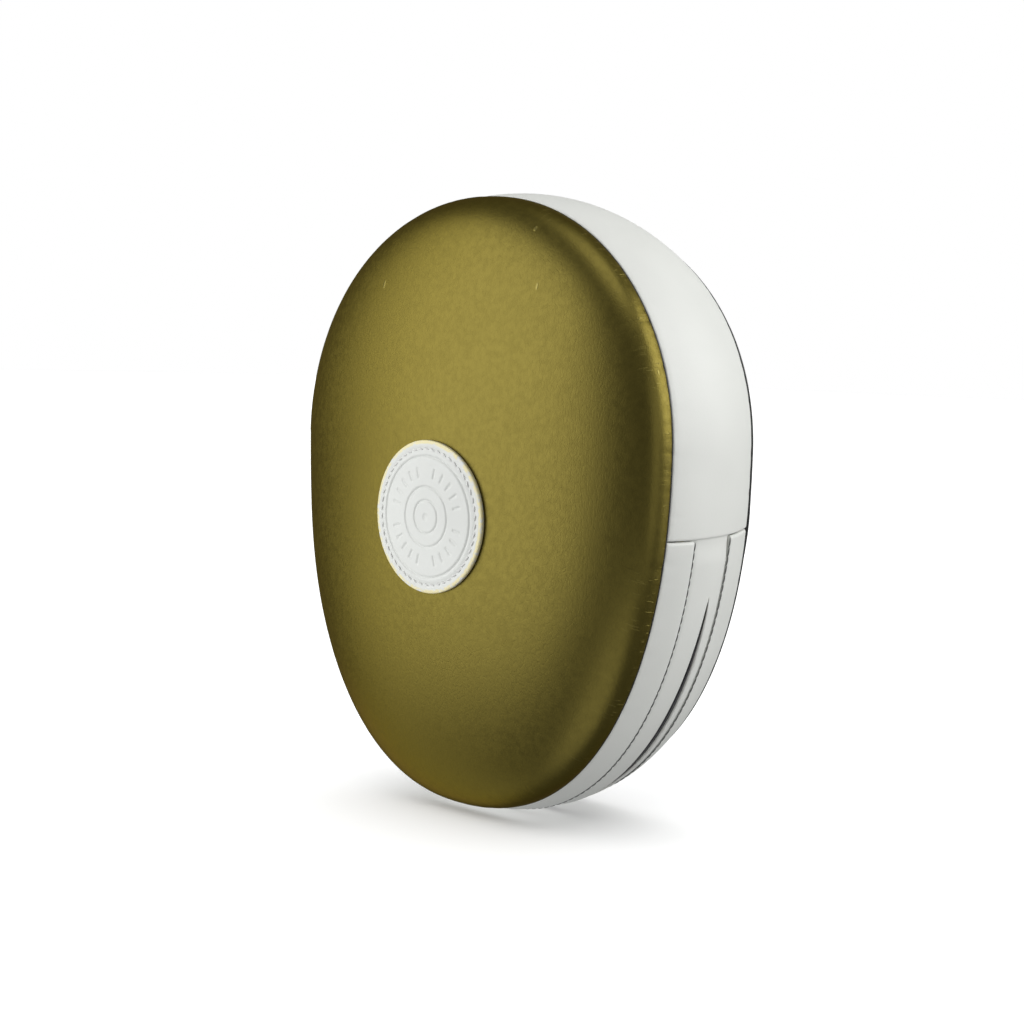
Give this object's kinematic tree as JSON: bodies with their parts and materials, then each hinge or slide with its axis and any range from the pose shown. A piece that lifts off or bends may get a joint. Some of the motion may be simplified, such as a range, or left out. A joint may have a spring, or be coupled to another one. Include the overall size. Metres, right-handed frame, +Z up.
{
  "type": "focus mitt",
  "caption": "Egg-shaped padded boxing focus mitt with a domed leather face, a deep side wall, a wrist slit for the hand and a hinged back flap with a hook-and-loop strap.",
  "frame": {"origin": "on the floor under the middle of the bounding box, with the mitt standing on its wrist end", "axes": "+Z up to the fingertips, -Y out of the striking face, +X to the right as seen from the striking side"},
  "size_m": [0.201, 0.0932, 0.2446],
  "materials": {
    "face_leather": "grained metallic gold",
    "wall_leather": "smooth satin white",
    "badge_leather": "smooth white",
    "black_leather": "grained black",
    "black_webbing": "woven",
    "hook_and_loop": "napped",
    "tab_rubber": "ribbed matt",
    "lining_fabric": "knitted mesh",
    "soft_foam": "open-cell",
    "firm_foam": "closed-cell",
    "board": "pressed fibre",
    "thread": "twisted"
  },
  "bodies": {
    "pad": {"face_panel": "face_leather", "face_foam": "soft_foam", "badge": "badge_leather", "badge_thread": "thread", "wall_upper": "wall_leather", "wall_lower_front": "wall_leather", "mouth_strip_front": "wall_leather", "wall_liner": "lining_fabric", "mouth_facing_front": "lining_fabric", "front_piping": "black_leather", "rear_piping_upper": "black_leather", "core_foam": "firm_foam", "base_foam": "soft_foam", "backing_board": "board", "palm_panel": "lining_fabric", "palm_grip": "black_leather", "finger_band": "black_webbing", "thumb_loop": "black_webbing", "back_panel_upper": "black_leather", "back_foam_upper": "soft_foam", "back_lining_upper": "lining_fabric"},
    "wrist_flap": {"mouth_strip_rear": "wall_leather", "mouth_facing_rear": "lining_fabric", "wall_lower_rear": "wall_leather", "rear_piping_lower": "black_leather", "flap_panel": "black_leather", "flap_foam": "soft_foam", "flap_lining": "lining_fabric", "flap_elastic": "black_webbing", "strap_anchor": "black_leather", "strap_loop_patch": "hook_and_loop"},
    "wrist_strap": {"wrist_strap": "black_webbing", "strap_hook_patch": "hook_and_loop", "strap_pull_tab": "tab_rubber"}
  },
  "joints": [
    {"name": "flap_flex", "type": "hinge", "parent": "pad", "child": "wrist_flap", "pos_m": [0, 0.0415, 0.115], "axis": [1, 0, 0], "range_deg": [0, 15], "stiffness_Nm_per_rad": 0.6, "springref_deg": -11.46},
    {"name": "strap_open", "type": "hinge", "parent": "wrist_flap", "child": "wrist_strap", "pos_m": [-0.044, 0.0465, 0.069], "axis": [0, 0, 1], "range_deg": [0, 150]}
  ]
}
